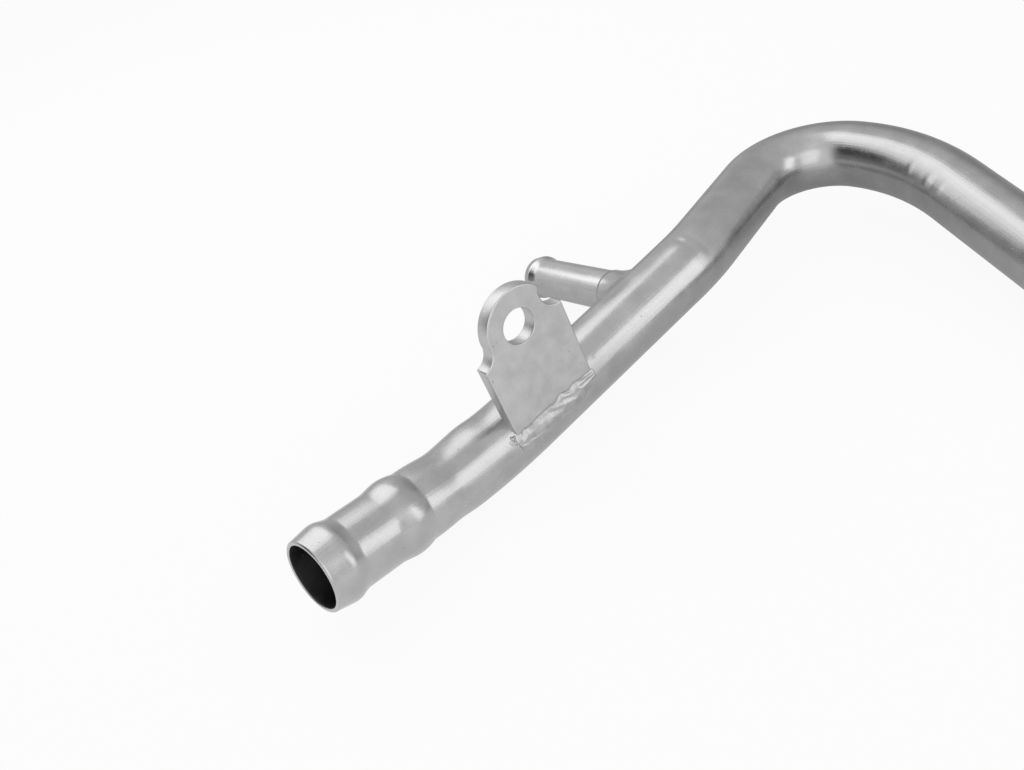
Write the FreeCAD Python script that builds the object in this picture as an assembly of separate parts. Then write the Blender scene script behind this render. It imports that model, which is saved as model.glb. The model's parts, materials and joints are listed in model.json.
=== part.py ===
import FreeCAD, Part
import math
import os

os.makedirs("parts", exist_ok=True)

Vector = FreeCAD.Vector

# Main tube section, mm
tube_radius = 9.0
tube_wall = 1.0

# Bend table: straight lengths from the inlet mouth to the outlet mouth
inlet_straight = 36.6
middle_straight = 55.5
riser_straight = 29.2
crown_straight = 1.1
outlet_straight = 59.6

# Bend angles in degrees and centreline radii in mm
inlet_bend_angle = 17.95
inlet_bend_radius = 98.5
riser_bend_angle = 18.85
riser_bend_radius = 42.7
crown_bend_angle = 99.85
crown_bend_radius = 20.4
outlet_bend_angle = 27.4
outlet_bend_radius = 65.0

# Turn of the bend plane about the tube between one bend and the next, degrees
riser_bend_turn = -138.6
crown_bend_turn = -152.7
outlet_bend_turn = 22.2

# How the inlet straight lies when the pipe rests on a flat floor, degrees
inlet_heading = 34.54
inlet_climb = -8.75
inlet_bend_roll = -110.41

# Hose end beads, measured back from the mouth of the tube
rim_edge_break = 0.2
end_bead_cone = 4.6
end_bead_cone_rise = 0.72
end_bead_crest = 5.6
end_bead_brow = 6.7
end_bead_rise = 0.85
end_bead_back = 9.8
stop_bead_front = 22.4
stop_bead_crest = 26.8
stop_bead_rise = 0.7
stop_bead_back = 31.2

# Branch nipple: a small beaded tube let into the wall of the middle straight
nipple_radius = 5.5
nipple_wall = 1.0
nipple_station = 45.1
nipple_clock = -74.3
nipple_reach = 51.0
nipple_bead_cone = 2.0
nipple_bead_cone_rise = 0.5
nipple_bead_crest = 2.7
nipple_bead_brow = 3.4
nipple_bead_rise = 0.65
nipple_bead_back = 5.4

# Braze fillet round the root of the nipple
braze_height = 15.4
braze_foot_radius = 7.8
braze_foot_height = 8.9
braze_waist_radius = 6.1
braze_waist_height = 12.2

# Mounting bracket: a flat plate with a round ear, coped onto the tube
plate_thickness = 4.0
plate_face_offset = 8.3
plate_width = 25.2
plate_clock = 111.8
plate_lean = 3.9
hole_radius = 4.3
hole_station = 5.6
hole_height = 27.1
ear_radius = 9.9
ear_shift = 0.8
ear_drop = 0.6
inlet_notch_radius = 4.0
inlet_notch_across = -13.0
inlet_notch_up = -0.5
outlet_notch_radius = 4.6
outlet_notch_across = 12.5
outlet_notch_up = 2.9

# Fillet weld along the front of the bracket's foot
weld_radius = 3.4
weld_start = -6.4
weld_end = 14.0
weld_face_offset = 7.0
weld_height = 2.2


def turned(vector, axis, degrees):
    rotation = FreeCAD.Rotation(axis, degrees)
    return rotation.multVec(vector)


def start_frame():
    # Heading and climb of the inlet straight, then the normal of its bend plane
    level = turned(Vector(1, 0, 0), Vector(0, 0, 1), inlet_heading)
    side = Vector(0, 0, 1).cross(level)
    forward = turned(level, side, -inlet_climb)
    upright = forward.cross(side)
    normal = turned(upright, forward, -inlet_bend_roll)
    return forward, normal


def disc(centre, normal, radius):
    edge = Part.makeCircle(radius, centre, normal)
    return Part.Face(Part.Wire(edge))


def straight_run(start, forward, length, radius):
    return Part.makeCylinder(radius, length, start, forward)


def bend_run(start, forward, normal, angle, bend_radius, radius):
    # A bend is the tube section turned about the bend axis
    inward = normal.cross(forward)
    pivot = start + inward * bend_radius
    solid = disc(start, forward, radius).revolve(pivot, normal, angle)
    finish = pivot + turned(start - pivot, normal, angle)
    return solid, finish, turned(forward, normal, angle)


def arc(first, middle, last):
    return Part.Arc(first, middle, last).toShape()


def line(first, second):
    return Part.LineSegment(first, second).toShape()


def hose_end(length):
    # Half section of a hose end, mouth at the origin, revolved about its axis
    lip = Vector(0, tube_radius - rim_edge_break, 0)
    mouth = Vector(rim_edge_break, tube_radius, 0)
    cone = Vector(end_bead_cone, tube_radius + end_bead_cone_rise, 0)
    crest = Vector(end_bead_crest, tube_radius + end_bead_rise, 0)
    brow = Vector(end_bead_brow, tube_radius + end_bead_cone_rise, 0)
    back = Vector(end_bead_back, tube_radius, 0)
    stop_front = Vector(stop_bead_front, tube_radius, 0)
    stop_crest = Vector(stop_bead_crest, tube_radius + stop_bead_rise, 0)
    stop_back = Vector(stop_bead_back, tube_radius, 0)
    far = Vector(length, tube_radius, 0)
    edges = [
        line(Vector(0, 0, 0), lip),
        line(lip, mouth),
        line(mouth, cone),
        line(cone, crest),
        line(crest, brow),
        line(brow, back),
        line(back, stop_front),
        arc(stop_front, stop_crest, stop_back),
        line(stop_back, far),
        line(far, Vector(length, 0, 0)),
        line(Vector(length, 0, 0), Vector(0, 0, 0)),
    ]
    return revolved(edges)


def nipple_body():
    # Half section of the nipple from its mouth back to the main tube's axis
    mouth = Vector(0, nipple_radius, 0)
    cone = Vector(nipple_bead_cone, nipple_radius + nipple_bead_cone_rise, 0)
    crest = Vector(nipple_bead_crest, nipple_radius + nipple_bead_rise, 0)
    brow = Vector(nipple_bead_brow, nipple_radius + nipple_bead_cone_rise, 0)
    back = Vector(nipple_bead_back, nipple_radius, 0)
    far = Vector(nipple_reach, nipple_radius, 0)
    edges = [
        line(Vector(0, 0, 0), mouth),
        line(mouth, cone),
        line(cone, crest),
        line(crest, brow),
        line(brow, back),
        line(back, far),
        line(far, Vector(nipple_reach, 0, 0)),
        line(Vector(nipple_reach, 0, 0), Vector(0, 0, 0)),
    ]
    return revolved(edges)


def revolved(edges):
    face = Part.Face(Part.Wire(edges))
    return face.revolve(Vector(0, 0, 0), Vector(1, 0, 0), 360)


def placed(shape, origin, x_axis, y_axis):
    z_axis = x_axis.cross(y_axis)
    rotation = FreeCAD.Rotation(x_axis, y_axis, z_axis, "XYZ")
    moved = shape.copy()
    moved.Placement = FreeCAD.Placement(origin, rotation)
    return moved


def tube_run(radius, inlet, outlet):
    # The whole run as one solid rod of the given radius between its two ends
    forward, normal = start_frame()
    point = Vector(0, 0, 0)
    rod = placed(inlet, point, forward, normal)
    point = point + forward * inlet_straight
    table = [
        (inlet_bend_angle, inlet_bend_radius, riser_bend_turn, middle_straight),
        (riser_bend_angle, riser_bend_radius, crown_bend_turn, riser_straight),
        (crown_bend_angle, crown_bend_radius, outlet_bend_turn, crown_straight),
    ]
    for angle, bend_radius, turn, straight in table:
        bend, point, forward = bend_run(point, forward, normal, angle, bend_radius, radius)
        normal = turned(normal, forward, turn)
        rod = rod.fuse(bend)
        rod = rod.fuse(straight_run(point, forward, straight, radius))
        point = point + forward * straight
    bend, point, forward = bend_run(
        point, forward, normal, outlet_bend_angle, outlet_bend_radius, radius
    )
    mouth = point + forward * outlet_straight
    return rod.fuse(bend).fuse(placed(outlet, mouth, -forward, normal))


def tube_rod():
    return tube_run(tube_radius, hose_end(inlet_straight), hose_end(outlet_straight))


def tube_bore():
    radius = tube_radius - tube_wall
    start = Vector(0, 0, 0)
    axis = Vector(1, 0, 0)
    inlet = straight_run(start, axis, inlet_straight, radius)
    outlet = straight_run(start, axis, outlet_straight, radius)
    return tube_run(radius, inlet, outlet)


def middle_frame():
    # Start of the middle straight, its direction and the second bend's normal
    forward, normal = start_frame()
    start = forward * inlet_straight
    bend, point, forward = bend_run(
        start, forward, normal, inlet_bend_angle, inlet_bend_radius, tube_radius
    )
    return point, forward, turned(normal, forward, riser_bend_turn)


def nipple_frame():
    point, forward, normal = middle_frame()
    outward = turned(normal, forward, nipple_clock)
    root = point + forward * nipple_station
    return root, outward, forward


def branch_nipple(main_bore):
    root, outward, forward = nipple_frame()
    mouth = root + outward * nipple_reach
    body = placed(nipple_body(), mouth, -outward, forward)
    bore = straight_run(root, outward, nipple_reach, nipple_radius - nipple_wall)
    return body.cut(bore).cut(main_bore)


def nipple_hole():
    root, outward, forward = nipple_frame()
    return straight_run(root, outward, nipple_reach, nipple_radius)


def main_tube(main_rod, main_bore):
    return main_rod.cut(main_bore).cut(nipple_hole())


def nipple_braze(main_rod):
    # Concave ring of braze, widest where it wets the main tube
    top = Vector(braze_height, nipple_radius, 0)
    waist = Vector(braze_waist_height, braze_waist_radius, 0)
    foot = Vector(braze_foot_height, braze_foot_radius, 0)
    edges = [
        line(Vector(0, 0, 0), Vector(braze_height, 0, 0)),
        line(Vector(braze_height, 0, 0), top),
        line(top, waist),
        line(waist, foot),
        line(foot, Vector(0, braze_foot_radius, 0)),
        line(Vector(0, braze_foot_radius, 0), Vector(0, 0, 0)),
    ]
    root, outward, forward = nipple_frame()
    ring = placed(revolved(edges), root, outward, forward)
    return ring.cut(main_rod).cut(nipple_hole())


def plate_point(across, up):
    # Plate drawing coordinates, centred on the screw hole
    lean = math.radians(plate_lean)
    along = across * math.cos(lean) + up * math.sin(lean)
    rise = up * math.cos(lean) - across * math.sin(lean)
    return Vector(hole_station + along, hole_height + rise, 0)


def drawn_post(across, up, radius):
    return Part.makeCylinder(radius, plate_thickness, plate_point(across, up))


def mounting_bracket(main_rod):
    half_width = plate_width / 2
    corners = [
        plate_point(-half_width, -hole_height),
        plate_point(half_width, -hole_height),
        plate_point(half_width, -ear_drop),
        plate_point(-half_width, -ear_drop),
    ]
    body = Part.Face(Part.makePolygon(corners + corners[:1]))
    plate = body.extrude(Vector(0, 0, plate_thickness))
    plate = plate.fuse(drawn_post(ear_shift, -ear_drop, ear_radius))
    inlet_notch = drawn_post(inlet_notch_across, inlet_notch_up, inlet_notch_radius)
    outlet_notch = drawn_post(outlet_notch_across, outlet_notch_up, outlet_notch_radius)
    plate = plate.cut(inlet_notch).cut(outlet_notch)
    plate = plate.cut(drawn_post(0, 0, hole_radius))
    point, forward, face_normal = plate_frame()
    back = point + face_normal * (plate_face_offset - plate_thickness)
    plate = placed(plate, back, forward, face_normal.cross(forward))
    return largest_solid(plate.cut(main_rod).removeSplitter())


def plate_frame():
    point, forward, normal = middle_frame()
    return point, forward, turned(normal, forward, plate_clock)


def largest_solid(shape):
    solids = sorted(shape.Solids, key=lambda solid: solid.Volume)
    return solids[-1]


def bracket_weld(main_rod, bracket):
    # A round-backed bead with domed ends, laid in the corner under the plate
    point, forward, face_normal = plate_frame()
    upward = face_normal.cross(forward)
    line_start = point + face_normal * weld_face_offset + upward * weld_height
    first = line_start + forward * (weld_start + weld_radius)
    length = weld_end - weld_start - 2 * weld_radius
    bead = Part.makeCylinder(weld_radius, length, first, forward)
    bead = bead.fuse(Part.makeSphere(weld_radius, first))
    bead = bead.fuse(Part.makeSphere(weld_radius, first + forward * length))
    return largest_solid(bead.cut(main_rod).cut(bracket))


def build():
    main_rod = tube_rod()
    main_bore = tube_bore()
    bracket = mounting_bracket(main_rod)
    parts = {
        "main_tube": main_tube(main_rod, main_bore),
        "branch_nipple": branch_nipple(main_bore),
        "nipple_braze": nipple_braze(main_rod),
        "mounting_bracket": bracket,
        "bracket_weld": bracket_weld(main_rod, bracket),
    }
    return parts


def settle(parts):
    # Centre the pipe over the origin with its lowest points on the floor
    box = FreeCAD.BoundBox()
    for shape in parts.values():
        box.add(shape.optimalBoundingBox())
    return Vector(-box.Center.x, -box.Center.y, -box.ZMin)


pieces = build()
shift = settle(pieces)
for name, shape in pieces.items():
    shape.translate(shift)
    shape.exportStep("parts/" + name + ".step")
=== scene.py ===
import json
import math

import bmesh
import bpy
from mathutils import Matrix, Quaternion, Vector, noise


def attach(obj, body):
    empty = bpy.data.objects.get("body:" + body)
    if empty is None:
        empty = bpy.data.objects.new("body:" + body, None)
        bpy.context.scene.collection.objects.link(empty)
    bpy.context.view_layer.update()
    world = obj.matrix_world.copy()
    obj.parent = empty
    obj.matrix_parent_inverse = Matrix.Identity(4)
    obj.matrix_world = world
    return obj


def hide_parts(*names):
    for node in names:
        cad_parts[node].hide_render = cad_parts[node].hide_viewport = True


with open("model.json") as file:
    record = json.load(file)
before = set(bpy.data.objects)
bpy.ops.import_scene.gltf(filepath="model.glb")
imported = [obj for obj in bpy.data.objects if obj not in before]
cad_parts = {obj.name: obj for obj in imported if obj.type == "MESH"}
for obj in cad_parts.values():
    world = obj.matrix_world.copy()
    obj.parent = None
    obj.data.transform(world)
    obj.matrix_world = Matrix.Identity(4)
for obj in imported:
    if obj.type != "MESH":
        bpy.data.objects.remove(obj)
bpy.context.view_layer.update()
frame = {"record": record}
print("frame loaded")

milli = 0.001  # the pipe is drawn in millimetres and its meshes are in metres
mounts = {mount["name"]: mount for mount in frame["record"]["mounts"]}


def mountPoint(name):
    return Vector(mounts[name]["pos_m"]) / milli


def mountAxis(name):
    return Vector(mounts[name]["axis"]).normalized()


# The pipe's route: each leg is a straight, then a bend, then the turn to the next bend's plane
pipeRoute = {
    "firstBendTurn": 110.41,
    "legs": [
        {"straight": 36.6, "angle": 17.95, "bendRadius": 98.5, "turn": -138.6},
        {"straight": 55.5, "angle": 18.85, "bendRadius": 42.7, "turn": -152.7},
        {"straight": 29.2, "angle": 99.85, "bendRadius": 20.4, "turn": 22.2},
        {"straight": 1.1, "angle": 27.4, "bendRadius": 65.0, "turn": 0.0},
        {"straight": 59.6, "angle": 0.0, "bendRadius": 1.0, "turn": 0.0},
    ],
}


def turned(vector, axis, degrees):
    return Matrix.Rotation(math.radians(degrees), 3, axis) @ vector


def bendLength(leg):
    return math.radians(leg["angle"]) * leg["bendRadius"]


def placeAlong(distance):
    # Centre point, direction and carried side of the tube, at a distance from the inlet mouth
    point = mountPoint("inlet_hose_end")
    forward = -mountAxis("inlet_hose_end")
    level = Vector((0, 0, 1)).cross(forward).normalized()
    normal = turned(forward.cross(level), forward, pipeRoute["firstBendTurn"])
    side = normal.copy()
    left = distance
    for leg in pipeRoute["legs"]:
        run = min(left, leg["straight"])
        point = point + forward * run
        left -= run
        if left < 1e-6 or leg["angle"] == 0:
            break
        swept = min(math.degrees(left / leg["bendRadius"]), leg["angle"])
        pivot = point + normal.cross(forward) * leg["bendRadius"]
        point = pivot + turned(point - pivot, normal, swept)
        forward = turned(forward, normal, swept)
        side = turned(side, normal, swept)
        left -= math.radians(swept) * leg["bendRadius"]
        if left < 1e-6:
            break
        normal = turned(normal, forward, leg["turn"])
    return point, forward, side


routeLength = sum(leg["straight"] + bendLength(leg) for leg in pipeRoute["legs"])
middleStart = pipeRoute["legs"][0]["straight"] + bendLength(pipeRoute["legs"][0])


def addPiece(name, mesh, node, material):
    piece = bpy.data.objects.new(name, mesh)
    bpy.context.scene.collection.objects.link(piece)
    mesh.materials.clear()
    mesh.materials.append(material)
    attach(piece, "root")
    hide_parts(node)
    return piece


def meshFromRings(name, rings, heights, girth):
    # Joins each closed ring to the next and the last to the first
    body = bmesh.new()
    # The UV map keeps where a point lies on the surface, around and along it in mm
    lie = body.loops.layers.uv.new("lie")
    grid = [[body.verts.new(point * milli) for point in ring] for ring in rings]
    columns = len(rings[0])
    for row in range(len(rings)):
        nextRow = (row + 1) % len(rings)
        for column in range(columns):
            nextColumn = (column + 1) % columns
            face = body.faces.new(
                (
                    grid[row][column],
                    grid[row][nextColumn],
                    grid[nextRow][nextColumn],
                    grid[nextRow][column],
                )
            )
            face.smooth = True
            around = (column, column + 1, column + 1, column)
            along = (row, row, nextRow, nextRow)
            for loop, step, level in zip(face.loops, around, along):
                loop[lie].uv = (step / columns * girth, heights[level])
    bmesh.ops.recalc_face_normals(body, faces=body.faces)
    mesh = bpy.data.meshes.new(name)
    body.to_mesh(mesh)
    body.free()
    return mesh


def newTree(name, inputs, outputs):
    tree = bpy.data.node_groups.new(name, "ShaderNodeTree")
    for label, kind, value in inputs:
        socket = tree.interface.new_socket(label, in_out="INPUT", socket_type=kind)
        if value is not None:
            socket.default_value = value
    for label, kind in outputs:
        tree.interface.new_socket(label, in_out="OUTPUT", socket_type=kind)
    return tree, tree.nodes.new("NodeGroupInput"), tree.nodes.new("NodeGroupOutput")


def addMath(tree, operation, first, second):
    node = tree.nodes.new("ShaderNodeMath")
    node.operation = operation
    for socket, value in zip(node.inputs, (first, second)):
        if isinstance(value, bpy.types.NodeSocket):
            tree.links.new(value, socket)
        else:
            socket.default_value = value
    return node.outputs[0]


def addNoise(tree, vector, scale, detail, roughness=0.5):
    node = tree.nodes.new("ShaderNodeTexNoise")
    node.inputs["Detail"].default_value = detail
    node.inputs["Roughness"].default_value = roughness
    tree.links.new(vector, node.inputs["Vector"])
    if isinstance(scale, bpy.types.NodeSocket):
        tree.links.new(scale, node.inputs["Scale"])
    else:
        node.inputs["Scale"].default_value = scale
    return node.outputs["Fac"]


def addRange(tree, value, low, high, toLow, toHigh):
    node = tree.nodes.new("ShaderNodeMapRange")
    tree.links.new(value, node.inputs["Value"])
    limits = {"From Min": low, "From Max": high, "To Min": toLow, "To Max": toHigh}
    for label, amount in limits.items():
        node.inputs[label].default_value = amount
    return node.outputs["Result"]


def addScale(tree, vector, factors):
    node = tree.nodes.new("ShaderNodeVectorMath")
    node.operation = "MULTIPLY"
    node.inputs[1].default_value = factors
    tree.links.new(vector, node.inputs[0])
    return node.outputs["Vector"]


def addDot(tree, vector, direction):
    node = tree.nodes.new("ShaderNodeVectorMath")
    node.operation = "DOT_PRODUCT"
    node.inputs[1].default_value = direction
    tree.links.new(vector, node.inputs[0])
    return node.outputs["Value"]


def makeCloudGroup():
    # Cloudy zinc: broad soft patches with a fine grain over them
    tree, start, end = newTree(
        "zincClouds",
        [
            ("Vector", "NodeSocketVector", None),
            ("Scale", "NodeSocketFloat", 0.15),
            ("Grain", "NodeSocketFloat", 2.5),
        ],
        [("Cloud", "NodeSocketFloat"), ("Grain", "NodeSocketFloat")],
    )
    broad = addNoise(tree, start.outputs["Vector"], start.outputs["Scale"], 3.0, 0.55)
    fine = addNoise(tree, start.outputs["Vector"], start.outputs["Grain"], 4.0, 0.6)
    tree.links.new(addRange(tree, broad, 0.3, 0.7, 0.0, 1.0), end.inputs["Cloud"])
    tree.links.new(addRange(tree, fine, 0.3, 0.7, 0.0, 1.0), end.inputs["Grain"])
    return tree


def makeStreakGroup():
    # Faint lines left along the tube where it was drawn through its die
    tree, start, end = newTree(
        "drawnStreaks",
        [("Vector", "NodeSocketVector", None)],
        [("Streak", "NodeSocketFloat")],
    )
    stretched = addScale(tree, start.outputs["Vector"], (1.6, 0.035, 1.0))
    lines = addNoise(tree, stretched, 1.0, 5.0, 0.65)
    tree.links.new(addRange(tree, lines, 0.32, 0.68, 0.0, 1.0), end.inputs["Streak"])
    return tree


def makeScratchGroup():
    # Hair scratches: thin contour lines of a noise, broken up by a second one
    tree, start, end = newTree(
        "hairScratches",
        [
            ("Vector", "NodeSocketVector", None),
            ("Scale", "NodeSocketFloat", 0.12),
            ("Width", "NodeSocketFloat", 0.004),
            ("Share", "NodeSocketFloat", 0.62),
        ],
        [("Scratch", "NodeSocketFloat")],
    )
    field = addNoise(tree, start.outputs["Vector"], start.outputs["Scale"], 2.0, 0.4)
    away = addMath(tree, "ABSOLUTE", addMath(tree, "SUBTRACT", field, 0.5), 0.0)
    line = addMath(tree, "LESS_THAN", away, start.outputs["Width"])
    patches = addNoise(tree, start.outputs["Vector"], 0.35, 3.0, 0.6)
    shown = addMath(tree, "GREATER_THAN", patches, start.outputs["Share"])
    tree.links.new(addMath(tree, "MULTIPLY", line, shown), end.inputs["Scratch"])
    return tree


def makePitGroup():
    # Small dark specks and pits in the plating
    tree, start, end = newTree(
        "platingPits",
        [
            ("Vector", "NodeSocketVector", None),
            ("Scale", "NodeSocketFloat", 0.5),
            ("Size", "NodeSocketFloat", 0.1),
        ],
        [("Pit", "NodeSocketFloat")],
    )
    cells = tree.nodes.new("ShaderNodeTexVoronoi")
    tree.links.new(start.outputs["Vector"], cells.inputs["Vector"])
    tree.links.new(start.outputs["Scale"], cells.inputs["Scale"])
    near = addMath(tree, "LESS_THAN", cells.outputs["Distance"], start.outputs["Size"])
    patches = addNoise(tree, start.outputs["Vector"], 0.21, 2.0)
    shown = addMath(tree, "GREATER_THAN", patches, 0.56)
    tree.links.new(addMath(tree, "MULTIPLY", near, shown), end.inputs["Pit"])
    return tree


cloudGroup = makeCloudGroup()
streakGroup = makeStreakGroup()
scratchGroup = makeScratchGroup()
pitGroup = makePitGroup()


def addGroup(tree, group, vector, values):
    node = tree.nodes.new("ShaderNodeGroup")
    node.node_tree = group
    tree.links.new(vector, node.inputs["Vector"])
    for label, value in values.items():
        node.inputs[label].default_value = value
    return node


def addMix(tree, factor, first, second):
    node = tree.nodes.new("ShaderNodeMix")
    node.data_type = "RGBA"
    tree.links.new(factor, node.inputs["Factor"])
    for label, value in (("A", first), ("B", second)):
        socket = [entry for entry in node.inputs if entry.name == label and entry.type == "RGBA"][0]
        if isinstance(value, bpy.types.NodeSocket):
            tree.links.new(value, socket)
        else:
            socket.default_value = (value[0], value[1], value[2], 1.0)
    return [entry for entry in node.outputs if entry.type == "RGBA"][0]


def makeZinc(name, finish):
    # Satin zinc plate: two greys mixed by the clouds, streaks and scratches over them
    material = bpy.data.materials.new(name)
    material.use_nodes = True
    tree = material.node_tree
    shader = tree.nodes["Principled BSDF"]
    shader.inputs["Metallic"].default_value = 1.0
    coordinates = tree.nodes.new("ShaderNodeTexCoord")
    place = addScale(tree, coordinates.outputs["Object"], (1 / milli,) * 3)
    lie = coordinates.outputs["UV"]
    cloudValues = {"Scale": finish["cloudScale"], "Grain": finish["grainScale"]}
    scratchValues = {
        "Scale": finish["scratchScale"],
        "Width": finish["scratchWidth"],
        "Share": finish["scratchShare"],
    }
    pitValues = {"Scale": finish["pitScale"], "Size": finish["pitSize"]}
    clouds = addGroup(tree, cloudGroup, place, cloudValues)
    cloud, grain = clouds.outputs["Cloud"], clouds.outputs["Grain"]
    streaks = addGroup(tree, streakGroup, lie, {})
    scratches = addGroup(tree, scratchGroup, place, scratchValues)
    pits = addGroup(tree, pitGroup, place, pitValues)
    tone = addMix(tree, cloud, finish["darkGrey"], finish["lightGrey"])
    streakTone = addRange(tree, streaks.outputs["Streak"], 0.0, 1.0, 0.0, finish["streakDepth"])
    tone = addMix(tree, streakTone, tone, finish["streakGrey"])
    tone = addMix(tree, pits.outputs["Pit"], tone, finish["pitGrey"])
    tree.links.new(tone, shader.inputs["Base Color"])
    rough = addRange(tree, cloud, 0.0, 1.0, finish["roughLow"], finish["roughHigh"])
    grainRough = addRange(tree, grain, 0.0, 1.0, *finish["grainRough"])
    rough = addMath(tree, "ADD", rough, grainRough)
    shine = addMath(tree, "MULTIPLY", scratches.outputs["Scratch"], finish["scratchShine"])
    rough = addMath(tree, "SUBTRACT", rough, shine)
    tree.links.new(rough, shader.inputs["Roughness"])
    height = addMath(tree, "MULTIPLY", grain, finish["grainHeight"])
    reliefs = (
        (cloud, finish["cloudHeight"]),
        (streaks.outputs["Streak"], finish["streakHeight"]),
        (scratches.outputs["Scratch"], -finish["scratchDepth"]),
        (pits.outputs["Pit"], -finish["pitDepth"]),
    )
    for output, amount in reliefs:
        height = addMath(tree, "ADD", height, addMath(tree, "MULTIPLY", output, amount))
    bump = tree.nodes.new("ShaderNodeBump")
    bump.inputs["Distance"].default_value = milli
    bump.inputs["Strength"].default_value = 1.0
    tree.links.new(height, bump.inputs["Height"])
    tree.links.new(bump.outputs["Normal"], shader.inputs["Normal"])
    return material


# Greys are linear, scales are cycles per mm and heights are in mm
tubeFinish = {
    "darkGrey": (0.38, 0.38, 0.38),
    "lightGrey": (0.46, 0.46, 0.46),
    "streakGrey": (0.34, 0.34, 0.34),
    "pitGrey": (0.2, 0.2, 0.2),
    "streakDepth": 0.25,
    "roughLow": 0.19,
    "roughHigh": 0.3,
    "cloudScale": 0.16,
    "grainScale": 2.2,
    "grainRough": (-0.02, 0.03),
    "grainHeight": 0.0022,
    "cloudHeight": 0.01,
    "streakHeight": 0.012,
    "scratchScale": 0.14,
    "scratchWidth": 0.0025,
    "scratchShare": 0.6,
    "scratchShine": 0.1,
    "scratchDepth": 0.01,
    "pitScale": 0.35,
    "pitSize": 0.05,
    "pitDepth": 0.05,
}
# The nipple's lighter greys are painted sheen: a brighter copy of the tube's zinc
nippleSheenFinish = dict(tubeFinish, darkGrey=(0.47, 0.47, 0.47), lightGrey=(0.56, 0.56, 0.56))
brazeFinish = dict(tubeFinish, streakDepth=0.0, streakHeight=0.0, cloudScale=0.3)
sheetFinish = dict(
    tubeFinish,
    darkGrey=(0.47, 0.47, 0.47),
    lightGrey=(0.55, 0.55, 0.55),
    pitGrey=(0.38, 0.38, 0.38),
    streakDepth=0.0,
    streakHeight=0.0,
    roughLow=0.34,
    roughHigh=0.46,
    cloudScale=0.3,
    cloudHeight=0.03,
    pitSize=0.08,
    scratchShare=0.5,
    scratchWidth=0.004,
)
weldFinish = dict(
    tubeFinish,
    darkGrey=(0.36, 0.36, 0.36),
    lightGrey=(0.46, 0.46, 0.46),
    streakDepth=0.0,
    streakHeight=0.0,
    roughLow=0.24,
    roughHigh=0.36,
    cloudScale=0.5,
    cloudHeight=0.04,
    grainHeight=0.012,
    pitSize=0.12,
)
# Near-black greys for the bore: painted shade inside the tube
boreShadeFinish = dict(
    tubeFinish,
    darkGrey=(0.05, 0.05, 0.05),
    lightGrey=(0.09, 0.09, 0.09),
    streakGrey=(0.04, 0.04, 0.04),
    roughLow=0.45,
    roughHigh=0.6,
)
tubeZinc = makeZinc("tube_zinc", tubeFinish)
nippleSheenZinc = makeZinc("nipple_zinc_painted_sheen", nippleSheenFinish)
brazeZinc = makeZinc("braze_zinc", brazeFinish)
sheetZinc = makeZinc("sheet_zinc", sheetFinish)
weldZinc = makeZinc("weld_zinc", weldFinish)
boreShadeSteel = makeZinc("bore_painted_shade", boreShadeFinish)
print("finishes made")

tube = {
    "radius": 9.0,
    "bore": 8.0,
    "columns": 112,
    "fineStep": 0.3,
    "fineReach": 34.0,
    "coarseStep": 0.5,
    "boreStep": 2.0,
    "boreInset": 1.0,
    # Radius and distance from the mouth, from the bore round to the outside
    "rim": [
        (8.0, 0.35),
        (8.04, 0.16),
        (8.14, 0.04),
        (8.3, 0.0),
        (8.62, 0.0),
        (8.8, 0.05),
        (8.93, 0.16),
    ],
    "rimEnd": 0.3,
    "endConeEnd": 4.4,
    "endConeRise": 0.72,
    "endCrestRise": 0.86,
    "endBrow": 6.9,
    "endBack": 9.6,
    "stopRise": 0.7,
    "inletStop": {"front": 19.0, "crest": 24.6, "foot": 28.7},
    "outletStop": {"front": 17.0, "crest": 20.6, "foot": 24.4},
}

# Swellings and necks of the bent tube: place along it, half length, side and rise
tubeWaves = [
    {"at": 39.0, "reach": 4.4, "side": (-0.26, 0.55, 0.65), "rise": -0.42},
    {"at": 38.0, "reach": 3.6, "side": (0.26, -0.55, -0.65), "rise": -0.28},
    {"at": 50.2, "reach": 4.2, "side": (-0.2, 0.4, 0.8), "rise": 0.36},
    {"at": 124.5, "reach": 4.0, "side": (0.26, -0.56, 0.79), "rise": 0.16},
]

# Small scars: place along the tube, the way they face, their half sizes and their rise
tubeMarks = [
    {"at": 37.9, "side": (0.58, -0.79, 0.2), "along": 0.5, "across": 1.0, "rise": -0.14},
    {"at": 38.9, "side": (0.52, -0.82, 0.24), "along": 0.6, "across": 0.8, "rise": 0.05},
    {"at": 86.2, "side": (0.26, -0.69, 0.67), "along": 0.5, "across": 0.5, "rise": -0.1},
    {"at": 126.0, "side": (-0.06, -0.11, 0.99), "along": 0.6, "across": 1.6, "rise": -0.1},
    {"at": 127.3, "side": (-0.02, -0.15, 0.98), "along": 0.6, "across": 1.6, "rise": 0.06},
    {"at": 126.8, "side": (0.3, -0.6, 0.75), "along": 0.6, "across": 1.6, "rise": 0.06},
    {"at": 128.4, "side": (0.26, -0.56, 0.79), "along": 0.6, "across": 1.9, "rise": -0.11},
    {"at": 224.0, "side": (-0.7, -0.3, 0.65), "along": 1.0, "across": 2.0, "rise": -0.07},
    {"at": 231.0, "side": (-0.82, -0.23, 0.52), "along": 0.8, "across": 2.4, "rise": -0.06},
    {"at": 233.3, "side": (-0.82, -0.22, 0.53), "along": 0.8, "across": 2.6, "rise": 0.05},
    {"at": 236.0, "side": (-0.8, -0.2, 0.56), "along": 0.8, "across": 2.2, "rise": -0.05},
]


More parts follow.
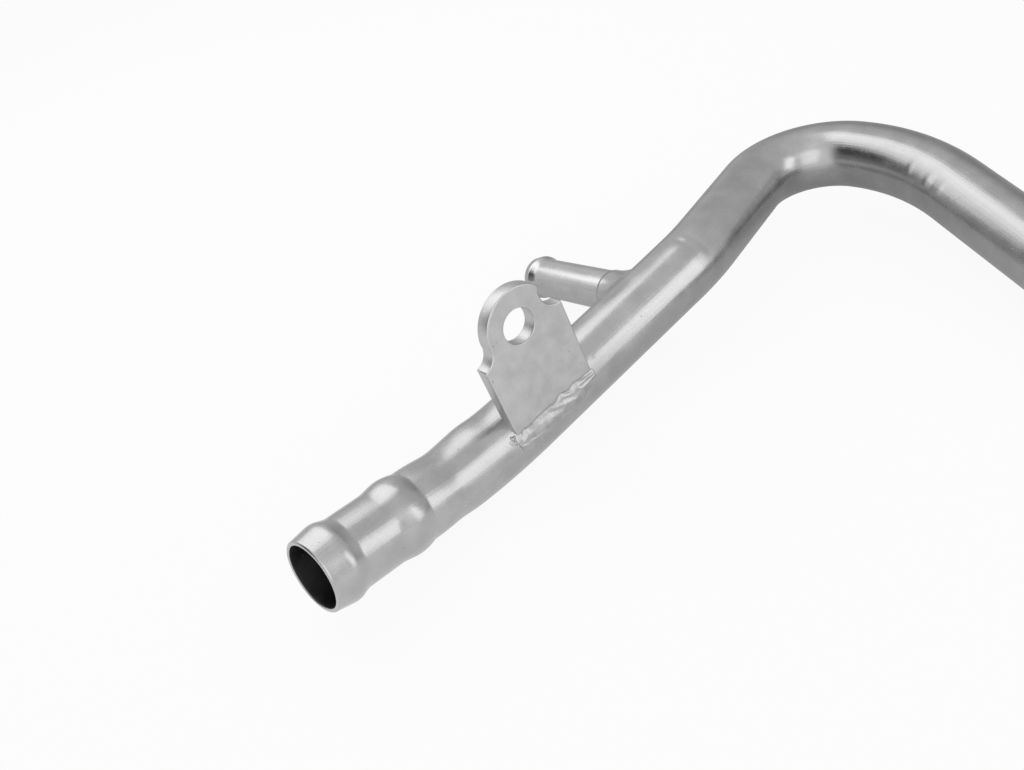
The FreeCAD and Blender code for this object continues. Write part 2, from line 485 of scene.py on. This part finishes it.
def endRise(back):
    # Height of the cone-fronted bead above the tube, by the distance back from its mouth
    if back < tube["endConeEnd"]:
        return tube["endConeRise"] * back / tube["endConeEnd"]
    if back < tube["endBrow"]:
        middle = (tube["endConeEnd"] + tube["endBrow"]) / 2
        share = (back - middle) / (tube["endBrow"] - middle)
        lift = tube["endCrestRise"] - tube["endConeRise"]
        return tube["endConeRise"] + lift * (1 - share * share)
    if back < tube["endBack"]:
        share = (back - tube["endBrow"]) / (tube["endBack"] - tube["endBrow"])
        return tube["endConeRise"] * (1 - share) ** 1.3
    return 0.0


def stopRise(back, bead):
    # Height of the hose stop: a long front slope, a round crest and a shorter back
    if bead["front"] < back < bead["crest"]:
        share = (back - bead["front"]) / (bead["crest"] - bead["front"])
        return tube["stopRise"] * share * share * (3 - 2 * share)
    if bead["crest"] <= back < bead["foot"]:
        share = (back - bead["crest"]) / (bead["foot"] - bead["crest"])
        return tube["stopRise"] * (1 - share * share) ** 1.05
    return 0.0


def tubeRadius(distance):
    back = routeLength - distance
    radius = tube["radius"] + endRise(distance) + endRise(back)
    return radius + stopRise(distance, tube["inletStop"]) + stopRise(back, tube["outletStop"])


def waveRise(distance, outward):
    rise = 0.0
    for wave in tubeWaves:
        share = 0.5 + 0.5 * outward.dot(Vector(wave["side"]).normalized())
        away = (distance - wave["at"]) / wave["reach"]
        rise += wave["rise"] * share * share * math.exp(-away * away)
    for mark in tubeMarks:
        if abs(distance - mark["at"]) < 3 * mark["along"]:
            facing = min(max(outward.dot(Vector(mark["side"]).normalized()), -1.0), 1.0)
            across = math.acos(facing) * tube["radius"] / mark["across"]
            along = (distance - mark["at"]) / mark["along"]
            rise += mark["rise"] * math.exp(-along * along - across * across)
    return rise


def tubeRing(distance, radius):
    point, forward, side = placeAlong(distance)
    rise = forward.cross(side)
    ring = []
    for column in range(tube["columns"]):
        angle = 2 * math.pi * column / tube["columns"]
        outward = side * math.cos(angle) + rise * math.sin(angle)
        wave = waveRise(distance, outward) if radius > tube["radius"] - 0.01 else 0.0
        ring.append(point + outward * (radius + wave))
    return ring


def tubeStations():
    # Close together over the beads, wider along the plain tube
    stations = [tube["rimEnd"]]
    last = routeLength - tube["rimEnd"]
    while stations[-1] < last - 0.01:
        nearest = min(stations[-1], routeLength - stations[-1])
        step = tube["fineStep"] if nearest < tube["fineReach"] else tube["coarseStep"]
        stations.append(min(stations[-1] + step, last))
    return stations


def makeTubeMesh():
    profile = [(distance, tubeRadius(distance)) for distance in tubeStations()]
    profile += [(routeLength - back, radius) for radius, back in reversed(tube["rim"])]
    last = routeLength - tube["boreInset"]
    length = routeLength - 2 * tube["boreInset"]
    steps = int(length / tube["boreStep"])
    profile += [(last - step * length / steps, tube["bore"]) for step in range(steps + 1)]
    profile += [(back, radius) for radius, back in tube["rim"]]
    rings = [tubeRing(distance, radius) for distance, radius in profile]
    heights = [distance for distance, radius in profile]
    return meshFromRings("main_tube", rings, heights, 2 * math.pi * tube["radius"])


nipple = {
    "reach": 51.0,
    "station": 45.1,
    "radius": 5.5,
    "bore": 4.5,
    "hole": 5.2,
    "cutterHeight": 8.5,
    "cutterDepth": 8.0,
    "columns": 64,
    "coneEnd": 2.0,
    "coneRise": 0.5,
    "crestRise": 0.65,
    "brow": 3.4,
    "back": 5.4,
    # Distance from the mouth and radius, from the outside round to the bore
    "lip": [(0.1, 5.42), (0.0, 5.3), (0.0, 4.75), (0.07, 4.58), (0.25, 4.5)],
    "footDepth": 8.4,
    "footTop": 11.5,
}


def nipplePlace():
    mouth = mountPoint("nipple_hose_end")
    outward = mountAxis("nipple_hose_end")
    root = mouth - outward * nipple["reach"]
    forward = placeAlong(middleStart + nipple["station"])[1]
    return root, outward, forward


def cutHole(mesh):
    # The hole that the nipple stands in, through the near wall of the tube
    root, outward = nipplePlace()[:2]
    middle = Matrix.Translation((root + outward * nipple["cutterHeight"]) * milli)
    upright = outward.to_track_quat("Z", "Y").to_matrix().to_4x4()
    cutter = bmesh.new()
    bmesh.ops.create_cone(
        cutter,
        cap_ends=True,
        segments=nipple["columns"],
        radius1=nipple["hole"] * milli,
        radius2=nipple["hole"] * milli,
        depth=nipple["cutterDepth"] * milli,
        matrix=middle @ upright,
    )
    cutterMesh = bpy.data.meshes.new("nippleHole")
    cutter.to_mesh(cutterMesh)
    cutter.free()
    cutterObject = bpy.data.objects.new("nippleHole", cutterMesh)
    whole = bpy.data.objects.new("tubeWhole", mesh)
    bpy.context.scene.collection.objects.link(cutterObject)
    bpy.context.scene.collection.objects.link(whole)
    cut = whole.modifiers.new("hole", "BOOLEAN")
    cut.operation = "DIFFERENCE"
    cut.solver = "EXACT"
    cut.object = cutterObject
    graph = bpy.context.evaluated_depsgraph_get()
    result = bpy.data.meshes.new_from_object(whole.evaluated_get(graph))
    bpy.data.objects.remove(whole)
    bpy.data.objects.remove(cutterObject)
    bpy.data.meshes.remove(cutterMesh)
    result.name = "main_tube"
    return result


def paintBoreShade(mesh):
    # The second material, near-black painted shade, goes on the faces that look at the centre line
    mesh.materials.append(boreShadeSteel)
    for face in mesh.polygons:
        if facesCentre(face.center / milli, face.normal):
            face.material_index = 1


def facesCentre(point, normal):
    # True for a face of the bore: it looks towards the nearest point of the centre line
    nearest = min(centreLine, key=lambda spot: (spot - point).length_squared)
    return (nearest - point).length < tube["bore"] + 0.03 and (nearest - point).dot(normal) > 0


centreSteps = 300
centreLine = [placeAlong(routeLength * step / centreSteps)[0] for step in range(centreSteps + 1)]
tubeMesh = cutHole(makeTubeMesh())
addPiece("main_tube_zinc", tubeMesh, "main_tube", tubeZinc)
paintBoreShade(tubeMesh)
print("main tube made")


def saddleHeight(depth, radius, angle):
    # Height above the tube's axis of a cylinder round that axis, met by the nipple's section
    return math.sqrt(depth * depth - (radius * math.sin(angle)) ** 2)


def nippleRise(back):
    if back < nipple["coneEnd"]:
        return nipple["coneRise"] * back / nipple["coneEnd"]
    if back < nipple["brow"]:
        middle = (nipple["coneEnd"] + nipple["brow"]) / 2
        share = (back - middle) / (nipple["brow"] - middle)
        return nipple["coneRise"] + (nipple["crestRise"] - nipple["coneRise"]) * (1 - share * share)
    if back < nipple["back"]:
        share = (back - nipple["brow"]) / (nipple["back"] - nipple["brow"])
        return nipple["coneRise"] * (1 - share) ** 1.5
    return 0.0


def makeNippleMesh():
    root, outward, forward = nipplePlace()
    across = outward.cross(forward)
    columns = nipple["columns"]
    angles = [2 * math.pi * column / columns for column in range(columns)]
    spots = [forward * math.cos(angle) + across * math.sin(angle) for angle in angles]
    # Close together over the bead, wider along the plain part
    backs = [0.25 + 0.25 * step for step in range(24)] + [8 + 2 * step for step in range(15)]
    profile = [(nipple["footTop"], nipple["radius"])]
    for back in reversed(backs):
        profile.append((nipple["reach"] - back, nipple["radius"] + nippleRise(back)))
    profile += [(nipple["reach"] - back, radius) for back, radius in nipple["lip"]]
    profile += [(48 - 4 * step, nipple["bore"]) for step in range(9)]
    outer, inner = nipple["radius"], nipple["bore"]
    foot = [(saddleHeight(nipple["footDepth"], outer, angle), outer) for angle in angles]
    innerFoot = [(saddleHeight(tube["bore"], inner, angle), inner) for angle in angles]
    levels = [foot] + [[station] * columns for station in profile] + [innerFoot]
    rings = []
    for level in levels:
        ring = []
        for spot, (height, radius) in zip(spots, level):
            ring.append(root + outward * height + spot * radius)
        rings.append(ring)
    heights = [level[0][0] for level in levels]
    return meshFromRings("branch_nipple", rings, heights, 2 * math.pi * nipple["radius"])


addPiece("branch_nipple_zinc", makeNippleMesh(), "branch_nipple", nippleSheenZinc)
print("branch nipple made")

braze = {
    "columns": 96,
    "rows": 20,
    "topHeight": 15.4,
    "topRadius": 5.85,
    "footRadius": 7.8,
    "footDepth": 8.93,
    "innerRadius": 5.2,
    "innerDepth": 8.5,
    "uneven": 0.35,
}


def ringNoise(angle, size, seed):
    # A smooth uneven value that closes on itself round the ring
    return noise.noise(Vector((math.cos(angle) * size, math.sin(angle) * size, seed)))


def makeBrazeMesh():
    root, outward, forward = nipplePlace()
    across = outward.cross(forward)
    rings = []
    for row in range(braze["rows"] + 3):
        ring = []
        for column in range(braze["columns"]):
            angle = 2 * math.pi * column / braze["columns"]
            foot = braze["footRadius"] + braze["uneven"] * ringNoise(angle, 1.6, 4.0)
            top = braze["topHeight"] + braze["uneven"] * ringNoise(angle, 1.3, 9.0)
            footHeight = saddleHeight(braze["footDepth"], foot, angle)
            share = row / braze["rows"]
            if row <= braze["rows"]:
                radius = braze["topRadius"] + (foot - braze["topRadius"]) * (1 - share) ** 2.1
                height = footHeight + (top - footHeight) * share ** 1.15
            elif row == braze["rows"] + 1:
                radius = braze["innerRadius"]
                height = top - 0.1
            else:
                radius = braze["innerRadius"]
                height = saddleHeight(braze["innerDepth"], radius, angle)
            spot = forward * math.cos(angle) + across * math.sin(angle)
            ring.append(root + outward * height + spot * radius)
        rings.append(ring)
    heights = [row * 0.5 for row in range(len(rings))]
    return meshFromRings("nipple_braze", rings, heights, 44.0)


addPiece("nipple_braze_zinc", makeBrazeMesh(), "nipple_braze", brazeZinc)
print("braze made")

bracket = {
    "halfWidth": 12.6,
    "thickness": 4.0,
    "faceOffset": 8.3,
    "lean": 3.9,
    "hole": 4.3,
    "holeStation": 5.6,
    "holeHeight": 27.1,
    "ear": (0.8, -0.6, 9.9),
    "inletNotch": (-13.0, -0.5, 4.0),
    "outletNotch": (12.5, 2.9, 4.6),
    "edgeBreak": 0.4,
    "arcStep": 0.45,
    "sideSteps": 20,
    "footSteps": 14,
    "footSink": 0.45,
    "holeColumns": 72,
}


def circlesMeet(first, second):
    # Upper meeting point of two circles given as (across, up, radius)
    gap = Vector((second[0] - first[0], second[1] - first[1]))
    along = (first[2] ** 2 - second[2] ** 2 + gap.length_squared) / (2 * gap.length)
    rise = math.sqrt(first[2] ** 2 - along**2)
    heading = gap.normalized()
    square = Vector((-heading.y, heading.x))
    if square.y < 0:
        square = -square
    return Vector((first[0], first[1])) + heading * along + square * rise


def arcPoints(circle, start, end, clockwise):
    # Points on a circle from start towards end, without the end itself
    first = math.atan2(start[1] - circle[1], start[0] - circle[0])
    last = math.atan2(end[1] - circle[1], end[0] - circle[0])
    sweep = (first - last) % (2 * math.pi) if clockwise else (last - first) % (2 * math.pi)
    count = max(2, int(sweep * circle[2] / bracket["arcStep"]))
    points = []
    for step in range(count):
        angle = first + (-sweep if clockwise else sweep) * step / count
        across = circle[0] + circle[2] * math.cos(angle)
        up = circle[1] + circle[2] * math.sin(angle)
        points.append(Vector((across, up)))
    return points


def bracketOutline(offset):
    # Outline in the plate's own drawing, for a layer at that offset from the tube's axis
    half = bracket["halfWidth"]
    lean = math.radians(bracket["lean"])
    footRise = math.sqrt(tube["radius"] ** 2 - offset**2) - bracket["footSink"]
    inletNotch, outletNotch, ear = bracket["inletNotch"], bracket["outletNotch"], bracket["ear"]
    inletDrop = math.sqrt(inletNotch[2] ** 2 - (half + inletNotch[0]) ** 2)
    outletDrop = math.sqrt(outletNotch[2] ** 2 - (half - outletNotch[0]) ** 2)
    inletCorner = (-half, inletNotch[1] - inletDrop)
    outletCorner = (half, outletNotch[1] - outletDrop)
    inletMeet = circlesMeet(inletNotch, ear)
    outletMeet = circlesMeet(ear, outletNotch)
    points = arcPoints(inletNotch, inletCorner, inletMeet, False)
    points += arcPoints(ear, inletMeet, outletMeet, True)
    points += arcPoints(outletNotch, outletMeet, outletCorner, False)
    outletFoot = (footRise - bracket["holeHeight"] + half * math.sin(lean)) / math.cos(lean)
    inletFoot = (footRise - bracket["holeHeight"] - half * math.sin(lean)) / math.cos(lean)
    sideSteps = bracket["sideSteps"]
    for step in range(sideSteps):
        rise = outletCorner[1] + (outletFoot - outletCorner[1]) * step / sideSteps
        points.append(Vector((half, rise)))
    for step in range(bracket["footSteps"]):
        share = step / bracket["footSteps"]
        rise = outletFoot + (inletFoot - outletFoot) * share
        points.append(Vector((half - 2 * half * share, rise)))
    for step in range(sideSteps):
        rise = inletFoot + (inletCorner[1] - inletFoot) * step / sideSteps
        points.append(Vector((-half, rise)))
    return points


def insetOutline(points, inset):
    # The same outline moved inwards all round, which breaks the plate's edges
    moved = []
    for index, point in enumerate(points):
        before = (point - points[index - 1]).normalized()
        after = (points[(index + 1) % len(points)] - point).normalized()
        inward = Vector((before.y + after.y, -before.x - after.x))
        inward = inward / max(inward.length_squared / 2, 0.6)
        moved.append(point + inward * inset)
    return moved


def platePoint(point, offset):
    # From the plate's own drawing, round its hole, to the scene
    lean = math.radians(bracket["lean"])
    along = bracket["holeStation"] + point.x * math.cos(lean) + point.y * math.sin(lean)
    rise = bracket["holeHeight"] + point.y * math.cos(lean) - point.x * math.sin(lean)
    return plateOrigin + plateForward * along + plateUpward * rise + plateNormal * offset


plateOrigin, plateForward = placeAlong(middleStart)[:2]
plateNormal = mountAxis("bracket_hole")
plateUpward = plateNormal.cross(plateForward)


def makeBracketMesh():
    back = bracket["faceOffset"] - bracket["thickness"]
    front = bracket["faceOffset"]
    edge = bracket["edgeBreak"]
    turns = [math.radians(22.5 * step) for step in range(5)]
    rounding = [(edge * (1 - math.cos(turn)), edge * (1 - math.sin(turn))) for turn in turns]
    layers = [(back + sunk, inset) for sunk, inset in rounding]
    layers.append((back + 0.5 * bracket["thickness"], 0.0))
    layers += [(front - sunk, inset) for sunk, inset in reversed(rounding)]
    body = bmesh.new()
    outer = []
    inner = []
    holeColumns = bracket["holeColumns"]
    holeAngles = [2 * math.pi * step / holeColumns for step in range(holeColumns)]
    for offset, inset in layers:
        outline = insetOutline(bracketOutline(offset), inset)
        outer.append([body.verts.new(platePoint(point, offset) * milli) for point in outline])
        holeRadius = bracket["hole"] + 0.6 * inset
        circle = [Vector((math.cos(angle), math.sin(angle))) * holeRadius for angle in holeAngles]
        inner.append([body.verts.new(platePoint(point, offset) * milli) for point in circle])
    for rings in (outer, inner):
        for lower, upper in zip(rings, rings[1:]):
            count = len(lower)
            for index in range(count):
                after = (index + 1) % count
                face = body.faces.new((lower[index], lower[after], upper[after], upper[index]))
                face.smooth = True
    for layer in (0, -1):
        edges = []
        for ring in (outer[layer], inner[layer]):
            for index in range(len(ring)):
                edges.append(body.edges.get((ring[index], ring[(index + 1) % len(ring)])))
        bmesh.ops.triangle_fill(body, use_beauty=True, edges=edges)
    bmesh.ops.recalc_face_normals(body, faces=body.faces)
    mesh = bpy.data.meshes.new("mounting_bracket")
    body.to_mesh(mesh)
    body.free()
    mesh.uv_layers.new(name="lie")
    return mesh


bracketMesh = makeBracketMesh()
addPiece("mounting_bracket_zinc", bracketMesh, "mounting_bracket", sheetZinc)
print("bracket made")

weld = {
    "start": -9.4,
    "end": 16.9,
    "columns": 30,
    "rows": 180,
    "climb": 1.3,
    "spread": 5.2,
    "hump": 0.8,
    "seam": 0.28,
    "startTaper": {"slope": 5.0, "least": 0.65},
    "endTaper": {"slope": 2.6, "least": 0.2},
    "cornerAt": -8.2,
    "cornerReach": 1.6,
    "rootDepth": 0.5,
    "wrinkleDepth": 0.22,
    "tack": {"along": -9.9, "angle": 26.0, "radius": 1.3},
}


def taperShare(share, taper):
    return min(1.0, taper["slope"] * share + taper["least"])


def weldSection(along):
    # Closed section of the weld: its wrinkled skin from plate to tube, then its hidden root
    share = (along - weld["start"]) / (weld["end"] - weld["start"])
    taper = taperShare(share, weld["startTaper"]) * taperShare(1 - share, weld["endTaper"])
    face = bracket["faceOffset"]
    footRise = math.sqrt(tube["radius"] ** 2 - face**2)
    footAngle = math.asin(footRise / tube["radius"])
    wander = 0.5 * noise.noise(Vector((along * 0.4, 2.0, 5.0)))
    lowAngle = footAngle - (weld["spread"] + wander) * (0.3 + 0.7 * taper) / tube["radius"]
    # Past the plate's corner there is no face to climb
    onPlate = min(max((along - weld["cornerAt"]) / weld["cornerReach"], 0.0), 1.0)
    climb = weld["climb"] * taper * (0.7 + wander) * onPlate
    top = Vector((face - 0.02, footRise + climb))
    low = Vector((math.cos(lowAngle), math.sin(lowAngle))) * (tube["radius"] - 0.05)
    out = (low + top).normalized()
    points = []
    for step in range(weld["columns"] + 1):
        down = step / weld["columns"]
        arch = 4 * down * (1 - down)
        bulge = (weld["hump"] * taper + weld["seam"]) * arch**0.8
        # The folds run slanting down the bead
        drift = 4.2 * down - 0.16 * along
        broad = noise.noise(Vector((along * 0.13, drift, 1.5)))
        fine = noise.noise(Vector((along * 0.4, drift * 2, 8.5)))
        fold = broad + 0.2 * fine
        crease = weld["wrinkleDepth"] * (0.4 - abs(fold) * 1.8) * min(arch * 1.5, 1.0)
        points.append(top + (low - top) * down + out * (bulge + crease))
    points.append(low * 0.93)
    points.append(Vector((face - weld["rootDepth"], footRise - 1.0)))
    points.append(Vector((face - weld["rootDepth"], top.y - 0.3)))
    return points


def addWeldSkin(body):
    rows = []
    for row in range(weld["rows"] + 1):
        along = weld["start"] + (weld["end"] - weld["start"]) * row / weld["rows"]
        ring = []
        for point in weldSection(along):
            place = plateOrigin + plateForward * along
            place = place + plateNormal * point.x + plateUpward * point.y
            ring.append(body.verts.new(place * milli))
        rows.append(ring)
    for lower, upper in zip(rows, rows[1:]):
        for column in range(len(lower)):
            after = (column + 1) % len(lower)
            face = body.faces.new((lower[column], lower[after], upper[after], upper[column]))
            face.smooth = True
    body.faces.new(rows[0])
    body.faces.new(list(reversed(rows[-1])))


def addTack(body):
    # The small lump where the weld was started, beside the plate's corner
    tack = weld["tack"]
    angle = math.radians(tack["angle"])
    out = plateNormal * math.cos(angle) + plateUpward * math.sin(angle)
    middle = plateOrigin + plateForward * tack["along"] + out * (tube["radius"] - 0.4)
    lump = bmesh.ops.create_icosphere(body, subdivisions=4, radius=tack["radius"] * milli)
    for vert in lump["verts"]:
        uneven = 1 + 0.6 * noise.noise(vert.co.normalized() * 1.5)
        vert.co = middle * milli + vert.co * uneven
        for face in vert.link_faces:
            face.smooth = True


def makeWeldMesh():
    body = bmesh.new()
    addWeldSkin(body)
    addTack(body)
    bmesh.ops.recalc_face_normals(body, faces=body.faces)
    mesh = bpy.data.meshes.new("bracket_weld")
    body.to_mesh(mesh)
    body.free()
    mesh.uv_layers.new(name="lie")
    return mesh


addPiece("bracket_weld_zinc", makeWeldMesh(), "bracket_weld", weldZinc)
print("weld made")

studio = {
    "floorHalfSize": 20.0,
    "floorGrey": 0.62,
    "floorWhiteShare": 0.92,
    "floorMirrorShare": 0.55,
    "floorPaintedPoolLevel": 0.85,
    "floorPaintedPoolSlope": (-3.3, -5.0, 0.0),
    "floorPaintedPoolLimits": (0.35, 1.5),
    "roomGrey": 0.93,
    "roomSlope": (-0.19, -0.17, 0.07),
    "roomLeast": 0.03,
    "darkPlaces": [
        {"toward": (-0.952, -0.033, 0.309), "edges": (0.8, 0.945), "depth": 0.86},
        {"toward": (-0.69, 0.1, 0.72), "edges": (0.87, 0.97), "depth": 0.55},
        {"toward": (0.64, 0.76, 0.08), "edges": (0.8, 0.97), "depth": 0.3},
    ],
    "softboxes": [
        {
            "name": "rightBox",
            "heading": 122,
            "height": 13,
            "distance": 0.61,
            "roll": -84,
            "size": (0.68, 0.24),
            "glow": 1.2,
        },
        {
            "name": "backBox",
            "heading": -36,
            "height": 51,
            "distance": 0.42,
            "roll": 17,
            "size": (0.3, 0.49),
            "glow": 1.07,
        },
        {
            "name": "frontBox",
            "heading": 178,
            "height": 32,
            "distance": 0.66,
            "roll": 0,
            "size": (0.5, 0.56),
            "glow": 0.62,
        },
    ],
}


def makeFloor():
    # White to the camera; in reflections it glows as a painted pool of light, brighter towards -x
    # and -y; its diffuse share still takes the pipe's shadow
    body = bmesh.new()
    bmesh.ops.create_grid(body, x_segments=2, y_segments=2, size=studio["floorHalfSize"])
    mesh = bpy.data.meshes.new("floor")
    body.to_mesh(mesh)
    body.free()
    floor = bpy.data.objects.new("floor", mesh)
    bpy.context.scene.collection.objects.link(floor)
    material = bpy.data.materials.new("floor_white")
    material.use_nodes = True
    tree = material.node_tree
    tree.nodes.clear()
    card = tree.nodes.new("ShaderNodeBsdfDiffuse")
    card.inputs["Color"].default_value = (studio["floorGrey"],) * 3 + (1.0,)
    glow = tree.nodes.new("ShaderNodeEmission")
    path = tree.nodes.new("ShaderNodeLightPath")
    seen = path.outputs["Is Camera Ray"]
    glossy, passed = path.outputs["Is Glossy Ray"], path.outputs["Is Transmission Ray"]
    mirrored = addMath(tree, "MAXIMUM", glossy, passed)
    place = tree.nodes.new("ShaderNodeTexCoord").outputs["Object"]
    least, most = studio["floorPaintedPoolLimits"]
    # Painted pool of light: the glow that metal mirrors rises towards -x and -y, kept between the
    # limits
    slope = addDot(tree, place, studio["floorPaintedPoolSlope"])
    bright = addMath(tree, "ADD", slope, studio["floorPaintedPoolLevel"])
    bright = addMath(tree, "MINIMUM", addMath(tree, "MAXIMUM", bright, least), most)
    strength = addMath(tree, "ADD", addMath(tree, "MULTIPLY", mirrored, bright), seen)
    tree.links.new(strength, glow.inputs["Strength"])
    seen = addMath(tree, "MULTIPLY", seen, studio["floorWhiteShare"])
    mirrored = addMath(tree, "MULTIPLY", mirrored, studio["floorMirrorShare"])
    mixer = tree.nodes.new("ShaderNodeMixShader")
    tree.links.new(addMath(tree, "MAXIMUM", seen, mirrored), mixer.inputs[0])
    tree.links.new(card.outputs[0], mixer.inputs[1])
    tree.links.new(glow.outputs[0], mixer.inputs[2])
    output = tree.nodes.new("ShaderNodeOutputMaterial")
    tree.links.new(mixer.outputs[0], output.inputs["Surface"])
    mesh.materials.append(material)


def makeWorld():
    # White behind the pipe; the room that lights it is brighter in front and has dark places
    world = bpy.data.worlds.new("studio")
    bpy.context.scene.world = world
    world.use_nodes = True
    tree = world.node_tree
    tree.nodes.clear()
    coordinates = tree.nodes.new("ShaderNodeTexCoord")
    direction = coordinates.outputs["Generated"]
    grey = addMath(tree, "ADD", addDot(tree, direction, studio["roomSlope"]), studio["roomGrey"])
    for place in studio["darkPlaces"]:
        facing = addDot(tree, direction, Vector(place["toward"]).normalized())
        shade = addRange(tree, facing, place["edges"][0], place["edges"][1], 0.0, place["depth"])
        grey = addMath(tree, "SUBTRACT", grey, shade)
    grey = addMath(tree, "MAXIMUM", grey, studio["roomLeast"])
    room = tree.nodes.new("ShaderNodeBackground")
    tree.links.new(grey, room.inputs["Strength"])
    backdrop = tree.nodes.new("ShaderNodeBackground")
    backdrop.inputs["Strength"].default_value = 1.0
    for background in (room, backdrop):
        background.inputs["Color"].default_value = (1.0, 1.0, 1.0, 1.0)
    path = tree.nodes.new("ShaderNodeLightPath")
    mixer = tree.nodes.new("ShaderNodeMixShader")
    tree.links.new(path.outputs["Is Camera Ray"], mixer.inputs[0])
    tree.links.new(room.outputs[0], mixer.inputs[1])
    tree.links.new(backdrop.outputs[0], mixer.inputs[2])
    output = tree.nodes.new("ShaderNodeOutputWorld")
    tree.links.new(mixer.outputs[0], output.inputs["Surface"])


def makeSoftboxes():
    for box in studio["softboxes"]:
        heading = math.radians(box["heading"])
        height = math.radians(box["height"])
        level = math.cos(height)
        away = Vector((math.sin(heading) * level, math.cos(heading) * level, math.sin(height)))
        light = bpy.data.lights.new(box["name"], "AREA")
        light.shape = "RECTANGLE"
        light.size, light.size_y = box["size"]
        light.energy = box["glow"] * math.pi * light.size * light.size_y
        lamp = bpy.data.objects.new(box["name"], light)
        lamp.location = away * box["distance"]
        lamp.rotation_mode = "QUATERNION"
        roll = Quaternion((0, 0, 1), math.radians(box["roll"]))
        lamp.rotation_quaternion = (-away).to_track_quat("-Z", "Y") @ roll
        lamp.visible_camera = False
        bpy.context.scene.collection.objects.link(lamp)


cameraSettings = {
    "at": (-0.04543, -0.2239, 0.18011),
    "turn": (51.459, 14.245, -11.956),
    "lens": 38.843,
}


def makeCamera():
    camera = bpy.data.cameras.new("camera")
    camera.lens = cameraSettings["lens"]
    camera.clip_start = 0.01
    view = bpy.data.objects.new("camera", camera)
    view.location = cameraSettings["at"]
    view.rotation_euler = [math.radians(angle) for angle in cameraSettings["turn"]]
    bpy.context.scene.collection.objects.link(view)
    bpy.context.scene.camera = view


makeFloor()
makeWorld()
makeSoftboxes()
makeCamera()
bpy.context.scene.view_settings.view_transform = "Standard"
print("studio made")

bpy.context.view_layer.update()
